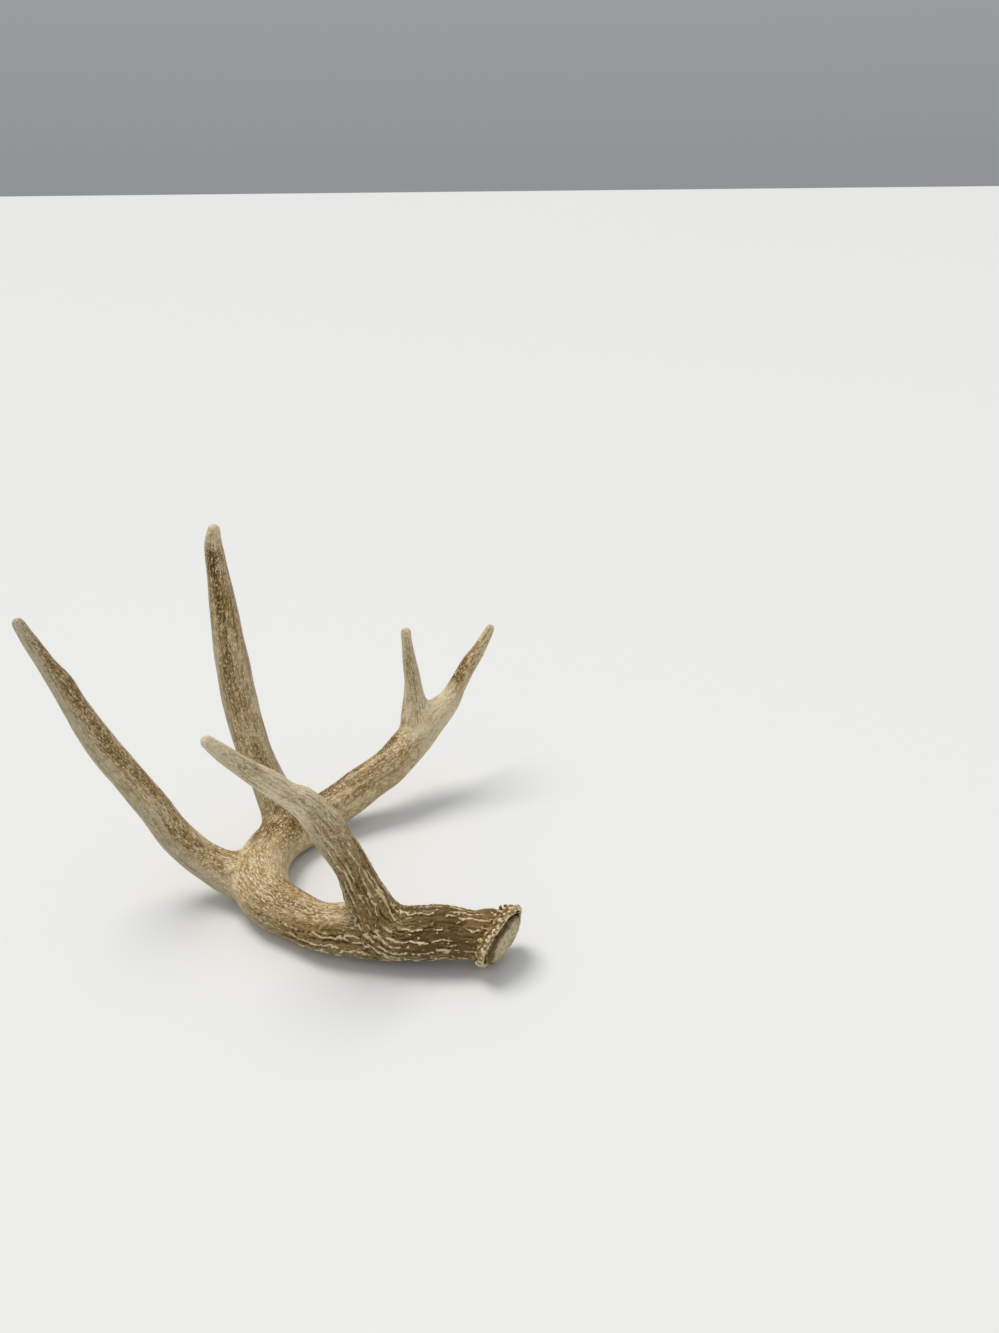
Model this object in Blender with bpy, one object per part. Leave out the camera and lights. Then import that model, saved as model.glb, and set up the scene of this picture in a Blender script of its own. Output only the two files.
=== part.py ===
"""A shed deer antler: main beam with its burr, and the four tines that fork from it.

The antler lies on its outer side, as it comes to rest on a table, with the tines up.
Every limb is a loft through a few stations, the limbs are grown together into one
body so that the forks get their webs, the ridges and pearls are raised on it, and it
is then parted at its four forks.
"""

import math
import random

import bmesh
import bpy
import numpy as np
from mathutils import Matrix, Vector, noise

MM = 0.001

# Driving dimensions, in millimetres. A station is the middle of a limb and the half
# width there: (x, y, z, half width, thickness as a share of the width).
BURR_CENTRE = (114.6, -96.0, 17.3)      # middle of the burr's rim
BURR_NORMAL = (0.81, -0.55, -0.18)      # the way the cast face looks
BURR_RADIUS = 19.1                      # to the tops of the knobs
BURR_KNOBS = 25
KNOB_SIZE = (1.9, 2.7)
RIM_RADIUS = 15.6                       # the solid rim that the knobs sit on
FACE_RADIUS = 13.0                      # the convex face where the antler was cast
FACE_CROWN = 5.0
FACE_OFFSET = 1.2                       # of the face's plane, out from the rim's

BEAM = (
    (113.7, -95.3, 17.2, 15.6, 1.00),
    (109.7, -93.5, 16.8, 13.8, 1.00),
    (104.2, -92.4, 16.4, 12.5, 1.00),
    (97.2, -92.0, 16.6, 12.4, 1.00),
    (81.7, -90.2, 17.0, 13.6, 1.00),
    (66.7, -89.7, 16.0, 13.9, 1.00),
    (50.2, -88.2, 15.2, 13.8, 1.00),
    (32.7, -84.7, 14.5, 13.2, 1.00),
    (16.2, -79.7, 13.4, 12.5, 1.00),
    (-0.3, -69.2, 13.2, 13.1, 1.00),
    (-14.4, -57.3, 14.4, 14.7, 0.98),
    (-22.9, -37.0, 14.9, 16.0, 0.94),
    (-21.9, -16.2, 14.0, 14.9, 0.95),
    (-16.8, -2.7, 13.2, 14.4, 0.93),
    (-6.8, 10.3, 12.4, 13.5, 0.94),
    (4.2, 20.8, 14.0, 12.9, 1.00),
    (18.7, 31.3, 19.5, 12.2, 1.00),
    (29.7, 38.3, 25.0, 11.7, 1.00),
    (43.2, 46.8, 31.9, 11.8, 1.00),
    (55.7, 58.8, 40.8, 12.3, 0.92),
    (65.7, 67.8, 49.0, 11.6, 0.88),
    (73.9, 73.3, 56.8, 10.2, 0.88),
    (80.6, 77.8, 62.3, 8.4, 0.90),
    (85.7, 83.3, 69.0, 6.7, 0.95),
    (93.7, 92.3, 80.5, 5.4, 1.00),
    (99.7, 98.1, 87.5, 4.3, 1.00),
    (105.7, 105.8, 95.5, 3.5, 1.00),
    (107.7, 108.6, 98.7, 3.0, 1.00),
)
BROW_TINE = (
    (51.7, -88.2, 17.0, 13.4, 0.90),
    (47.4, -86.2, 31.5, 10.7, 0.90),
    (41.4, -84.7, 45.0, 9.8, 0.90),
    (36.7, -83.7, 57.5, 9.1, 0.90),
    (26.7, -84.2, 79.0, 9.1, 0.88),
    (18.2, -86.2, 94.0, 7.8, 0.88),
    (9.7, -88.7, 103.0, 6.5, 0.90),
    (-2.8, -92.7, 116.0, 5.5, 0.95),
    (-14.7, -96.2, 129.3, 4.0, 1.00),
    (-20.6, -97.7, 136.4, 2.9, 1.00),
)
SECOND_TINE = (
    (-20.3, -42.7, 14.5, 13.4, 0.95),
    (-34.3, -42.0, 16.2, 12.5, 0.88),
    (-52.3, -36.2, 23.2, 10.4, 0.85),
    (-61.0, -35.4, 31.9, 9.6, 0.85),
    (-68.8, -34.7, 42.2, 9.3, 0.85),
    (-79.8, -34.2, 64.8, 8.9, 0.85),
    (-95.3, -35.2, 94.0, 8.3, 0.85),
    (-105.6, -37.2, 121.5, 6.8, 0.85),
    (-110.9, -38.2, 138.0, 5.9, 0.88),
    (-115.5, -39.2, 150.0, 4.9, 0.92),
    (-119.4, -40.2, 160.8, 4.1, 1.00),
    (-122.9, -41.0, 171.2, 3.4, 1.00),
)
THIRD_TINE = (
    (-15.3, -0.2, 13.5, 13.2, 0.90),
    (-17.2, 6.0, 20.0, 12.4, 0.85),
    (-20.1, 11.5, 31.0, 11.4, 0.82),
    (-27.0, 17.3, 44.5, 10.4, 0.80),
    (-33.8, 22.8, 61.0, 10.3, 0.80),
    (-39.8, 29.8, 89.5, 10.3, 0.80),
    (-42.8, 34.8, 120.0, 9.4, 0.80),
    (-44.8, 39.8, 149.5, 7.5, 0.85),
    (-46.4, 43.8, 171.5, 5.8, 0.90),
    (-46.4, 44.8, 182.5, 5.0, 1.00),
    (-45.7, 45.8, 188.8, 4.1, 1.00),
)
FOURTH_TINE = (
    (60.7, 61.3, 44.0, 9.8, 0.90),
    (58.7, 65.8, 53.0, 10.1, 0.82),
    (58.6, 70.8, 62.0, 9.1, 0.80),
    (59.2, 73.8, 72.0, 6.9, 0.85),
    (58.7, 75.8, 79.6, 5.7, 0.88),
    (57.3, 77.8, 92.7, 4.6, 0.95),
    (55.9, 79.8, 103.0, 3.8, 1.00),
    (55.5, 80.8, 109.0, 3.4, 1.00),
)

UP = (0.0, 0.0, 1.0)
FRONT = (0.0, -0.85, 0.53)              # the broad side of every tine looks this way

# name: stations, broad side, ridges around the limb, how far they run, their height
LIMBS = {
    "main_beam": (BEAM, UP, 12, 230.0, 1.25),
    "brow_tine": (BROW_TINE, FRONT, 8, 125.0, 1.15),
    "second_tine": (SECOND_TINE, FRONT, 5, 190.0, 0.45),
    "third_tine": (THIRD_TINE, FRONT, 5, 190.0, 0.45),
    "fourth_tine": (FOURTH_TINE, FRONT, 4, 80.0, 0.30),
}

# Lengths along each tine's middle line: where it leaves the beam, and where it is parted;
# and the radius of the cut, which takes in the tine and nothing beside it.
FORKS = {
    "brow_tine": (16.0, 40.0, 15.0),
    "second_tine": (22.0, 37.0, 17.0),
    "third_tine": (22.0, 42.0, 17.0),
    "fourth_tine": (14.0, 28.0, 9.5),
}
CUT_WIDTH = 0.3

RING_SIDES = 24
RING_STEP = 3.0
GROW_VOXEL = 1.1
WEB_REACH = 27.0                        # how far round a fork the web is smoothed
WEB_PASSES = 26
SKIN_PASSES = 4

PEARL_COUNT = 110
PEARL_RADIUS = (1.8, 2.9)
PEARL_HEIGHT = 0.9
PEARL_REACH = (95.0, 75.0)              # along the beam, and along the brow tine
WAVE_HEIGHT = 0.45                      # slow unevenness of every limb
WAVE_LENGTH = 19.0
FACETS = 8900
SHORTEST_EDGE = 0.03

SEED = 5
BONE = {
    "main_beam": (0.40, 0.29, 0.16, 0.62),
    "brow_tine": (0.37, 0.28, 0.17, 0.62),
    "second_tine": (0.47, 0.36, 0.22, 0.58),
    "third_tine": (0.43, 0.31, 0.17, 0.58),
    "fourth_tine": (0.48, 0.38, 0.25, 0.58),
}


def clear_scene():
    for thing in list(bpy.data.objects):
        bpy.data.objects.remove(thing, do_unlink=True)


def middle_line(stations, step=RING_STEP):
    """Rows of (x, y, z, half width, thickness) about every step along the stations."""
    rows = np.array(stations, float)
    ends = np.vstack([2 * rows[0] - rows[1], rows, 2 * rows[-1] - rows[-2]])
    out = []
    for i in range(1, len(ends) - 2):
        a, b, c, d = ends[i - 1:i + 3]
        count = max(2, round(np.linalg.norm(c[:3] - b[:3]) / step))
        for t in np.arange(count) / count:
            out.append(0.5 * (2 * b + (c - a) * t + (2 * a - 5 * b + 4 * c - d) * t * t
                              + (3 * b - a - 3 * c + d) * t ** 3))
    out.append(rows[-1])
    return np.array(out)


def section_axes(rows, broad_side):
    """Unit vectors along the limb, across its width and through its thickness."""
    along = np.gradient(rows[:, :3], axis=0)
    along /= np.linalg.norm(along, axis=1)[:, None]
    across = np.cross(along, np.array(broad_side))
    across /= np.linalg.norm(across, axis=1)[:, None]
    through = np.cross(across, along)
    return along, across, through


def add_limb(bm, stations, broad_side):
    """Loft one limb as a closed skin with a round tip into bm."""
    rows = middle_line(stations)
    along, across, through = section_axes(rows, broad_side)
    rings = []
    for row, u, v in zip(rows, across, through):
        rings.append((row[:3], u * row[3], v * row[3] * row[4]))
    end, half = rows[-1][:3], rows[-1][3]
    for k in (1, 2, 3):                              # the blunt tip
        turn = math.radians(24 * k)
        rings.append((end + along[-1] * half * math.sin(turn),
                      across[-1] * half * math.cos(turn), through[-1] * half * math.cos(turn)))
    loops = []
    for centre, u, v in rings:
        loop = []
        for k in range(RING_SIDES):
            turn = 2 * math.pi * k / RING_SIDES
            loop.append(bm.verts.new((centre + u * math.cos(turn) + v * math.sin(turn)) * MM))
        loops.append(loop)
    for low, high in zip(loops, loops[1:]):
        for k in range(RING_SIDES):
            n = (k + 1) % RING_SIDES
            bm.faces.new((low[k], low[n], high[n], high[k]))
    bm.faces.new(loops[0][::-1])
    bm.faces.new(loops[-1])


def burr_frame():
    """The burr's place: +Z looks out of the cast face."""
    normal = Vector(BURR_NORMAL).normalized()
    turn = normal.to_track_quat('Z', 'X').to_matrix().to_4x4()
    return Matrix.Translation(Vector(BURR_CENTRE) * MM) @ turn


def add_burr(bm):
    """The knobby rim at the root of the beam, and the crowned cast face inside it."""
    rng = random.Random(SEED)
    frame = burr_frame()
    for k in range(BURR_KNOBS):
        turn = 2 * math.pi * (k + rng.uniform(-0.22, 0.22)) / BURR_KNOBS
        size = rng.uniform(*KNOB_SIZE)
        reach = BURR_RADIUS - size - rng.uniform(0.0, 0.7)
        place = Vector((reach * math.cos(turn), reach * math.sin(turn), rng.uniform(-1.4, -0.4)))
        bmesh.ops.create_icosphere(bm, subdivisions=2, radius=size * MM,
                                   matrix=frame @ Matrix.Translation(place * MM))
    bmesh.ops.create_cone(bm, cap_ends=True, segments=40, radius1=0.9 * RIM_RADIUS * MM,
                          radius2=RIM_RADIUS * MM, depth=3.0 * MM,
                          matrix=frame @ Matrix.Translation((0, 0, -1.8 * MM)))
    crown = Matrix.Diagonal((1.0, 1.0, FACE_CROWN / FACE_RADIUS, 1.0))
    bmesh.ops.create_uvsphere(bm, u_segments=32, v_segments=16, radius=FACE_RADIUS * MM,
                              matrix=frame @ Matrix.Translation((0, 0, FACE_OFFSET * MM)) @ crown)


def new_object(name, bm):
    mesh = bpy.data.meshes.new(name)
    bm.to_mesh(mesh)
    bm.free()
    thing = bpy.data.objects.new(name, mesh)
    bpy.context.collection.objects.link(thing)
    return thing


def apply_modifiers(thing):
    """Bake the object's modifiers into its mesh."""
    shaped = thing.evaluated_get(bpy.context.evaluated_depsgraph_get())
    mesh = bpy.data.meshes.new_from_object(shaped)
    thing.modifiers.clear()
    thing.data = mesh


def grow_body():
    """All limbs and the burr as one closed body."""
    bm = bmesh.new()
    for stations, broad_side, *_ in LIMBS.values():
        add_limb(bm, stations, broad_side)
    add_burr(bm)
    bmesh.ops.recalc_face_normals(bm, faces=bm.faces)
    body = new_object("antler", bm)
    grown = body.modifiers.new("grown together", 'REMESH')
    grown.mode = 'VOXEL'
    grown.voxel_size = GROW_VOXEL * MM
    apply_modifiers(body)
    return body


def relax(places, edges, share, passes):
    """Draw every place towards the middle of its neighbours, by its own share."""
    count = np.bincount(edges.ravel(), minlength=len(places))[:, None]
    for _ in range(passes):
        total = np.zeros_like(places)
        np.add.at(total, edges[:, 0], places[edges[:, 1]])
        np.add.at(total, edges[:, 1], places[edges[:, 0]])
        places = places + share[:, None] * (total / count - places)
    return places


def smooth_webs(body):
    """Round the crotches of the forks into webs, and take the voxel steps off the rest."""
    mesh = body.data
    places = np.array([v.co[:] for v in mesh.vertices]) / MM
    edges = np.array([e.vertices[:] for e in mesh.edges])
    near = np.zeros(len(places))
    for name, (root, _, _) in FORKS.items():
        line = middle_line(LIMBS[name][0], 1.0)[:, :3]
        fork = line[round(root)]
        gap = np.linalg.norm(places - fork, axis=1) / WEB_REACH
        near = np.maximum(near, np.clip(1.4 - 1.4 * gap, 0.0, 1.0))
    places = relax(places, edges, 0.5 * near, WEB_PASSES)
    even = np.ones(len(places))
    for _ in range(SKIN_PASSES):
        places = relax(places, edges, 0.50 * even, 1)
        places = relax(places, edges, -0.52 * even, 1)
    mesh.vertices.foreach_set("co", (places * MM).ravel())
    mesh.update()


def limb_field(places):
    """For each limb: weight, length along it and angle round it, at every place."""
    field = {}
    for name, (stations, broad_side, *_) in LIMBS.items():
        rows = middle_line(stations, 2.0)
        _, across, through = section_axes(rows, broad_side)
        steps = np.linalg.norm(np.diff(rows[:, :3], axis=0), axis=1)
        lengths = np.concatenate([[0.0], np.cumsum(steps)])
        gaps = np.linalg.norm(places[:, None, :] - rows[None, :, :3], axis=2)
        nearest = (gaps / rows[None, :, 3]).argmin(axis=1)
        offset = places - rows[nearest, :3]
        angle = np.arctan2((offset * through[nearest]).sum(1), (offset * across[nearest]).sum(1))
        share = np.linalg.norm(offset, axis=1) / rows[nearest, 3]
        field[name] = (np.exp(-6.0 * share), lengths[nearest], angle)
    return field


def ridge_relief(places, field):
    """Long grooves that run with each limb, deep near the burr and fading towards the tips."""
    total = np.zeros(len(places))
    weights = np.zeros(len(places))
    for name, (weight, length, angle) in field.items():
        count, run, height = LIMBS[name][2:]
        height = height * np.clip(1.0 - length / run, 0.12, 1.0)
        drift = np.array([noise.noise(Vector((s / 34.0, a, count))) for s, a in
                          zip(length, np.cos(angle))])
        crest = 0.5 + 0.5 * np.cos(count * angle + 5.0 * drift)
        total += weight * height * (crest ** 0.8 - 0.5)
        weights += weight
    return total / weights


def pearl_relief(places, field):
    """Small round pearls on the root of the beam and of the brow tine."""
    rng = random.Random(SEED + 1)
    beam_weight, beam_length, _ = field["main_beam"]
    brow_weight, brow_length, _ = field["brow_tine"]
    on_beam = (beam_length > 5.0) & (beam_length < PEARL_REACH[0]) & (beam_weight >= brow_weight)
    on_brow = (brow_length > 15.0) & (brow_length < PEARL_REACH[1]) & (brow_weight > beam_weight)
    choices = np.flatnonzero((on_beam | on_brow) & (places[:, 2] > 2.0))
    relief = np.zeros(len(places))
    for _ in range(PEARL_COUNT):
        centre = places[choices[rng.randrange(len(choices))]]
        radius = rng.uniform(*PEARL_RADIUS)
        gap = np.linalg.norm(places - centre, axis=1) / radius
        bump = PEARL_HEIGHT * (radius / PEARL_RADIUS[1]) * np.sqrt(np.clip(1.0 - gap * gap, 0, 1))
        relief = np.maximum(relief, bump)
    return relief


def raise_relief(body):
    mesh = body.data
    places = np.array([v.co[:] for v in mesh.vertices]) / MM
    normals = np.array([v.normal[:] for v in mesh.vertices])
    field = limb_field(places)
    waves = np.array([noise.noise(Vector(p / WAVE_LENGTH)) for p in places]) * WAVE_HEIGHT
    height = ridge_relief(places, field) + pearl_relief(places, field) + waves
    to_burr = np.linalg.norm(places - np.array(BURR_CENTRE), axis=1)
    height *= np.clip((to_burr - BURR_RADIUS * 0.95) / 5.0, 0.25, 1.0)
    moved = (places + normals * height[:, None]) * MM
    mesh.vertices.foreach_set("co", moved.ravel())
    mesh.update()


def thin_facets(body):
    faces = sum(len(p.vertices) - 2 for p in body.data.polygons)
    thin = body.modifiers.new("facets", 'DECIMATE')
    thin.ratio = FACETS / faces
    apply_modifiers(body)


def cut_away(body, cutter):
    cut = body.modifiers.new("cut", 'BOOLEAN')
    cut.operation = 'DIFFERENCE'
    cut.object = cutter
    apply_modifiers(body)
    bpy.data.objects.remove(cutter, do_unlink=True)


def lay_flat(body):
    """Wear the underside flat where the antler touches what it lies on."""
    bm = bmesh.new()
    bmesh.ops.create_cube(bm, size=1.0, matrix=Matrix.Translation((0, 0, -0.01))
                          @ Matrix.Diagonal((0.5, 0.5, 0.02, 1.0)))
    cut_away(body, new_object("ground", bm))


def cut_place(name):
    """Middle of a fork's cut, and the tine's direction there."""
    rows = middle_line(LIMBS[name][0], 1.0)
    steps = np.linalg.norm(np.diff(rows[:, :3], axis=0), axis=1)
    at = int(np.searchsorted(np.cumsum(steps), FORKS[name][1]))
    along = rows[at + 1, :3] - rows[at - 1, :3]
    return Vector(rows[at, :3]) * MM, Vector(along).normalized()


def part_forks(body):
    """Slit the body at each fork, and take the tine off as an object of its own."""
    for name in FORKS:
        place, along = cut_place(name)
        radius = FORKS[name][2] * MM
        bm = bmesh.new()
        turn = along.to_track_quat('Z', 'X').to_matrix().to_4x4()
        bmesh.ops.create_cone(bm, cap_ends=True, segments=24, radius1=radius, radius2=radius,
                              depth=CUT_WIDTH * MM, matrix=Matrix.Translation(place) @ turn)
        cut_away(body, new_object("slit", bm))
        take_off(body, name)


def loose_parts(bm):
    """Groups of connected vertices."""
    left = set(bm.verts)
    groups = []
    while left:
        group, edge = set(), [left.pop()]
        while edge:
            vert = edge.pop()
            group.add(vert)
            for link in vert.link_edges:
                other = link.other_vert(vert)
                if other in left:
                    left.remove(other)
                    edge.append(other)
        groups.append(group)
    return groups


def bone_material(name):
    red, green, blue, roughness = BONE[name]
    material = bpy.data.materials.new(name + "_bone")
    material.use_nodes = True
    shader = material.node_tree.nodes["Principled BSDF"]
    shader.inputs["Base Color"].default_value = (red, green, blue, 1.0)
    shader.inputs["Roughness"].default_value = roughness
    shader.inputs["Metallic"].default_value = 0.0
    return material


def take_off(body, name):
    """Move the part of the body that holds the named tine's tip to its own object."""
    tip = Vector(LIMBS[name][0][-1][:3]) * MM
    rest = bmesh.new()
    rest.from_mesh(body.data)
    parts = loose_parts(rest)
    tine = min(parts, key=lambda group: min((v.co - tip).length for v in group))
    rest.verts.index_update()
    moved = {v.index for v in tine}
    one = rest.copy()
    bmesh.ops.delete(one, geom=[v for v in one.verts if v.index not in moved], context='VERTS')
    bmesh.ops.delete(rest, geom=list(tine), context='VERTS')
    rest.to_mesh(body.data)
    rest.free()
    new_object(name, one)


def finish(limb):
    """Clean triangles, the limb's own material, and smooth shading but for the cut edges."""
    bm = bmesh.new()
    bm.from_mesh(limb.data)
    bmesh.ops.dissolve_degenerate(bm, edges=bm.edges, dist=SHORTEST_EDGE * MM)
    bmesh.ops.triangulate(bm, faces=bm.faces)
    bm.to_mesh(limb.data)
    bm.free()
    limb.data.materials.clear()
    limb.data.materials.append(bone_material(limb.name))
    limb.data.shade_smooth()
    limb.data.set_sharp_from_angle(angle=math.radians(50))


def build():
    clear_scene()
    noise.seed_set(SEED)
    body = grow_body()
    smooth_webs(body)
    raise_relief(body)
    thin_facets(body)
    lay_flat(body)
    part_forks(body)
    body.name = "main_beam"
    for name in LIMBS:
        finish(bpy.data.objects[name])


build()
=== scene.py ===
import math
import random

import bmesh
import bpy
import numpy as np
from mathutils import Matrix, Vector


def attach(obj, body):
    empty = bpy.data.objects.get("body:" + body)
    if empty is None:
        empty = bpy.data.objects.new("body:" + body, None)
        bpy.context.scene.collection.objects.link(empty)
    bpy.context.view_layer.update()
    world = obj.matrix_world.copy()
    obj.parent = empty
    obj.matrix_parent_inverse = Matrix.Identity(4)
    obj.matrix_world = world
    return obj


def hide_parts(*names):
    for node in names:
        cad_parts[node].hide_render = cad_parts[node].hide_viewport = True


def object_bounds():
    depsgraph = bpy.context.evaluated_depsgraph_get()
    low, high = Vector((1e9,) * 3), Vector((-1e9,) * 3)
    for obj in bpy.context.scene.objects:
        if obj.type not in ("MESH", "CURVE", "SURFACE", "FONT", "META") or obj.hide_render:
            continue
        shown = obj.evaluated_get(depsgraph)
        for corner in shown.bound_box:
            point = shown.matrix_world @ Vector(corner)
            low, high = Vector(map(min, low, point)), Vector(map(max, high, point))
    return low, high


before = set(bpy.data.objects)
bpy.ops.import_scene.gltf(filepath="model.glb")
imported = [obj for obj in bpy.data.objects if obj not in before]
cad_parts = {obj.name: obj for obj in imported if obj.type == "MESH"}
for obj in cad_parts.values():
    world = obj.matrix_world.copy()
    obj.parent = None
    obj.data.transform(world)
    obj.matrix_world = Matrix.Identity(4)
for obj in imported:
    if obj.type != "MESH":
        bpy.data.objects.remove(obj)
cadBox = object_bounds()
mm = 0.001
print("frame loaded:", sorted(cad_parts))

# camera, floor and light

photoView = {
    "place": (0.1137, -0.5002, 0.373),           # metres
    "down": 26.4,                                # degrees below the horizon
    "roll": 0.6,
    "frameWidth": 36,                            # mm
    "focal": 1018 / 999,                         # as a share of the frame's width
    "nearest": 0.01,
}


def addCamera():
    down, roll = math.radians(photoView["down"]), math.radians(photoView["roll"])
    look = Vector((0, math.cos(down), -math.sin(down)))
    up = Vector((0, math.sin(down), math.cos(down)))
    right = Vector((1, 0, 0))
    columns = (right * math.cos(roll) - up * math.sin(roll),
               up * math.cos(roll) + right * math.sin(roll), -look)
    data = bpy.data.cameras.new("photoCamera")
    data.sensor_fit = "HORIZONTAL"
    data.sensor_width = photoView["frameWidth"]
    data.lens = photoView["focal"] * photoView["frameWidth"]
    data.clip_start = photoView["nearest"]
    camera = bpy.data.objects.new("photoCamera", data)
    camera.matrix_world = Matrix(columns).transposed().to_4x4()
    camera.location = photoView["place"]
    bpy.context.scene.collection.objects.link(camera)
    bpy.context.scene.camera = camera


studio = {
    "floorTone": (0.83, 0.83, 0.82), "floorRough": 0.6, "floorGloss": 0.2,
    "floorSize": 30, "floorDrop": 0.0001,        # metres
    "horizon": (0.28, 0.295, 0.305), "zenith": (0.64, 0.655, 0.67),
    "sunFrom": (-0.40, 0.32, 1.30), "sunPower": 1.70, "sunSoftness": 28,     # degrees across
    "sunTone": (1.0, 0.97, 0.92),
}


def addStudio():
    bpy.context.scene.view_settings.view_transform = "Standard"
    world = bpy.data.worlds.new("softAir")
    bpy.context.scene.world = world
    world.use_nodes = True
    nodes, links = world.node_tree.nodes, world.node_tree.links
    heading = nodes.new("ShaderNodeTexCoord")
    height = nodes.new("ShaderNodeSeparateXYZ")
    sky = nodes.new("ShaderNodeMix")
    sky.data_type = "RGBA"
    sky.inputs["A"].default_value = (*studio["horizon"], 1)
    sky.inputs["B"].default_value = (*studio["zenith"], 1)
    links.new(heading.outputs["Generated"], height.inputs["Vector"])
    links.new(height.outputs["Z"], sky.inputs["Factor"])
    links.new(sky.outputs["Result"], nodes["Background"].inputs["Color"])
    data = bpy.data.lights.new("softSun", "SUN")
    data.energy, data.color = studio["sunPower"], studio["sunTone"]
    data.angle = math.radians(studio["sunSoftness"])
    sun = bpy.data.objects.new("softSun", data)
    sun.location = studio["sunFrom"]
    sun.rotation_euler = Vector(studio["sunFrom"]).to_track_quat("Z", "Y").to_euler()
    bpy.context.scene.collection.objects.link(sun)
    bpy.ops.mesh.primitive_plane_add(size=studio["floorSize"],
                                     location=(0, 0, -studio["floorDrop"]))
    floor = bpy.context.object
    floor.name = "floor"
    paint = bpy.data.materials.new("paleFloor")
    paint.use_nodes = True
    shader = paint.node_tree.nodes["Principled BSDF"]
    shader.inputs["Base Color"].default_value = (*studio["floorTone"], 1)
    shader.inputs["Roughness"].default_value = studio["floorRough"]
    shader.inputs["Specular IOR Level"].default_value = studio["floorGloss"]
    floor.data.materials.append(paint)


def startClean():
    if bpy.context.object and bpy.context.object.mode != "OBJECT":
        bpy.ops.object.mode_set(mode="OBJECT")
    bpy.ops.object.select_all(action="DESELECT")


startClean()
addCamera()
addStudio()
print("camera, floor and light")

# the limbs
# A station is the limb's middle and size there, in mm: x, y, z, half width, thickness
# as a share of the width. The broad side is the way that the limb's width lies across,
# and the web is how far along a tine the middle of its fork's web lies, in mm.

mainBeam = {
    "name": "mainBeam", "broadSide": (0, 0, 1),
    "stations": [
        (110.2, -94.2, 17.8, 12.7, 1.00),
        (106.5, -93.0, 17.3, 12.9, 1.00), (102.0, -92.3, 16.7, 12.5, 1.00),
        (97.2, -92.0, 16.6, 12.4, 1.00),
        (81.7, -90.2, 17.0, 13.6, 1.00), (66.7, -89.7, 16.0, 13.9, 1.00),
        (50.2, -88.2, 15.2, 13.8, 1.00), (32.7, -84.7, 14.5, 13.2, 1.00),
        (16.2, -79.7, 13.4, 12.5, 1.00), (-0.3, -69.2, 13.2, 13.1, 1.00),
        (-14.4, -57.3, 14.4, 14.7, 0.98), (-22.9, -37.0, 14.9, 16.0, 0.94),
        (-21.9, -16.2, 14.0, 14.9, 0.95), (-16.8, -2.7, 13.2, 14.4, 0.93),
        (-6.8, 10.3, 12.4, 13.5, 0.94), (4.2, 20.8, 14.0, 12.9, 1.00),
        (18.7, 31.3, 19.5, 12.2, 1.00), (29.7, 38.3, 25.0, 11.7, 1.00),
        (43.2, 46.8, 31.9, 11.8, 1.00), (55.7, 58.8, 40.8, 12.3, 0.92),
        (65.7, 67.8, 49.0, 11.6, 0.88), (74.2, 73.3, 56.6, 10.3, 0.88),
        (81.2, 77.8, 62.3, 7.6, 0.94), (86.0, 83.3, 69.0, 6.0, 1.00),
        (93.7, 92.3, 80.5, 5.4, 1.00), (99.7, 98.1, 87.5, 4.3, 1.00),
        (105.7, 105.8, 95.5, 3.5, 1.00), (107.7, 108.6, 98.7, 3.0, 1.00)],
}
browTine = {
    "name": "browTine", "broadSide": (0, -0.85, 0.53), "web": 16,
    "stations": [
        (51.7, -88.2, 17.0, 13.4, 0.90), (47.4, -86.2, 31.5, 10.7, 0.90),
        (41.4, -84.7, 45.0, 9.8, 0.90), (36.7, -83.7, 57.5, 9.1, 0.90),
        (26.7, -84.2, 79.0, 9.1, 0.88), (18.2, -86.2, 94.0, 7.8, 0.88),
        (9.7, -88.7, 103.0, 6.5, 0.90), (-2.8, -92.7, 116.0, 5.5, 0.95),
        (-14.7, -96.2, 129.3, 4.0, 1.00), (-20.6, -97.7, 136.4, 2.9, 1.00)],
}
secondTine = {
    "name": "secondTine", "broadSide": (0, -0.85, 0.53), "web": 22,
    "stations": [
        (-20.3, -42.7, 14.5, 13.4, 0.95), (-34.3, -42.0, 16.2, 12.5, 0.88),
        (-52.3, -36.2, 23.2, 10.4, 0.85), (-61.0, -35.4, 31.9, 9.6, 0.85),
        (-68.8, -34.7, 42.2, 9.3, 0.85), (-79.8, -34.2, 64.8, 8.9, 0.85),
        (-95.3, -35.2, 94.0, 8.3, 0.85), (-105.6, -37.2, 121.5, 6.8, 0.85),
        (-110.9, -38.2, 138.0, 5.9, 0.88), (-115.5, -39.2, 150.0, 4.9, 0.92),
        (-119.4, -40.2, 160.8, 3.9, 1.00), (-122.9, -41.0, 171.5, 3.0, 1.00)],
}
thirdTine = {
    "name": "thirdTine", "broadSide": (0, -0.85, 0.53), "web": 22,
    "stations": [
        (-15.3, -0.2, 13.5, 13.2, 0.90), (-17.2, 6.0, 20.0, 12.4, 0.85),
        (-20.1, 11.5, 31.0, 11.4, 0.82), (-27.0, 17.3, 44.5, 10.4, 0.80),
        (-33.8, 22.8, 61.0, 10.3, 0.80), (-39.8, 29.8, 89.5, 10.3, 0.80),
        (-42.8, 34.8, 120.0, 9.4, 0.80), (-44.8, 39.8, 149.5, 7.5, 0.85),
        (-46.5, 43.8, 171.5, 5.9, 0.90), (-46.7, 44.8, 182.5, 4.9, 1.00),
        (-45.7, 45.8, 189.2, 3.7, 1.00)],
}
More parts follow.
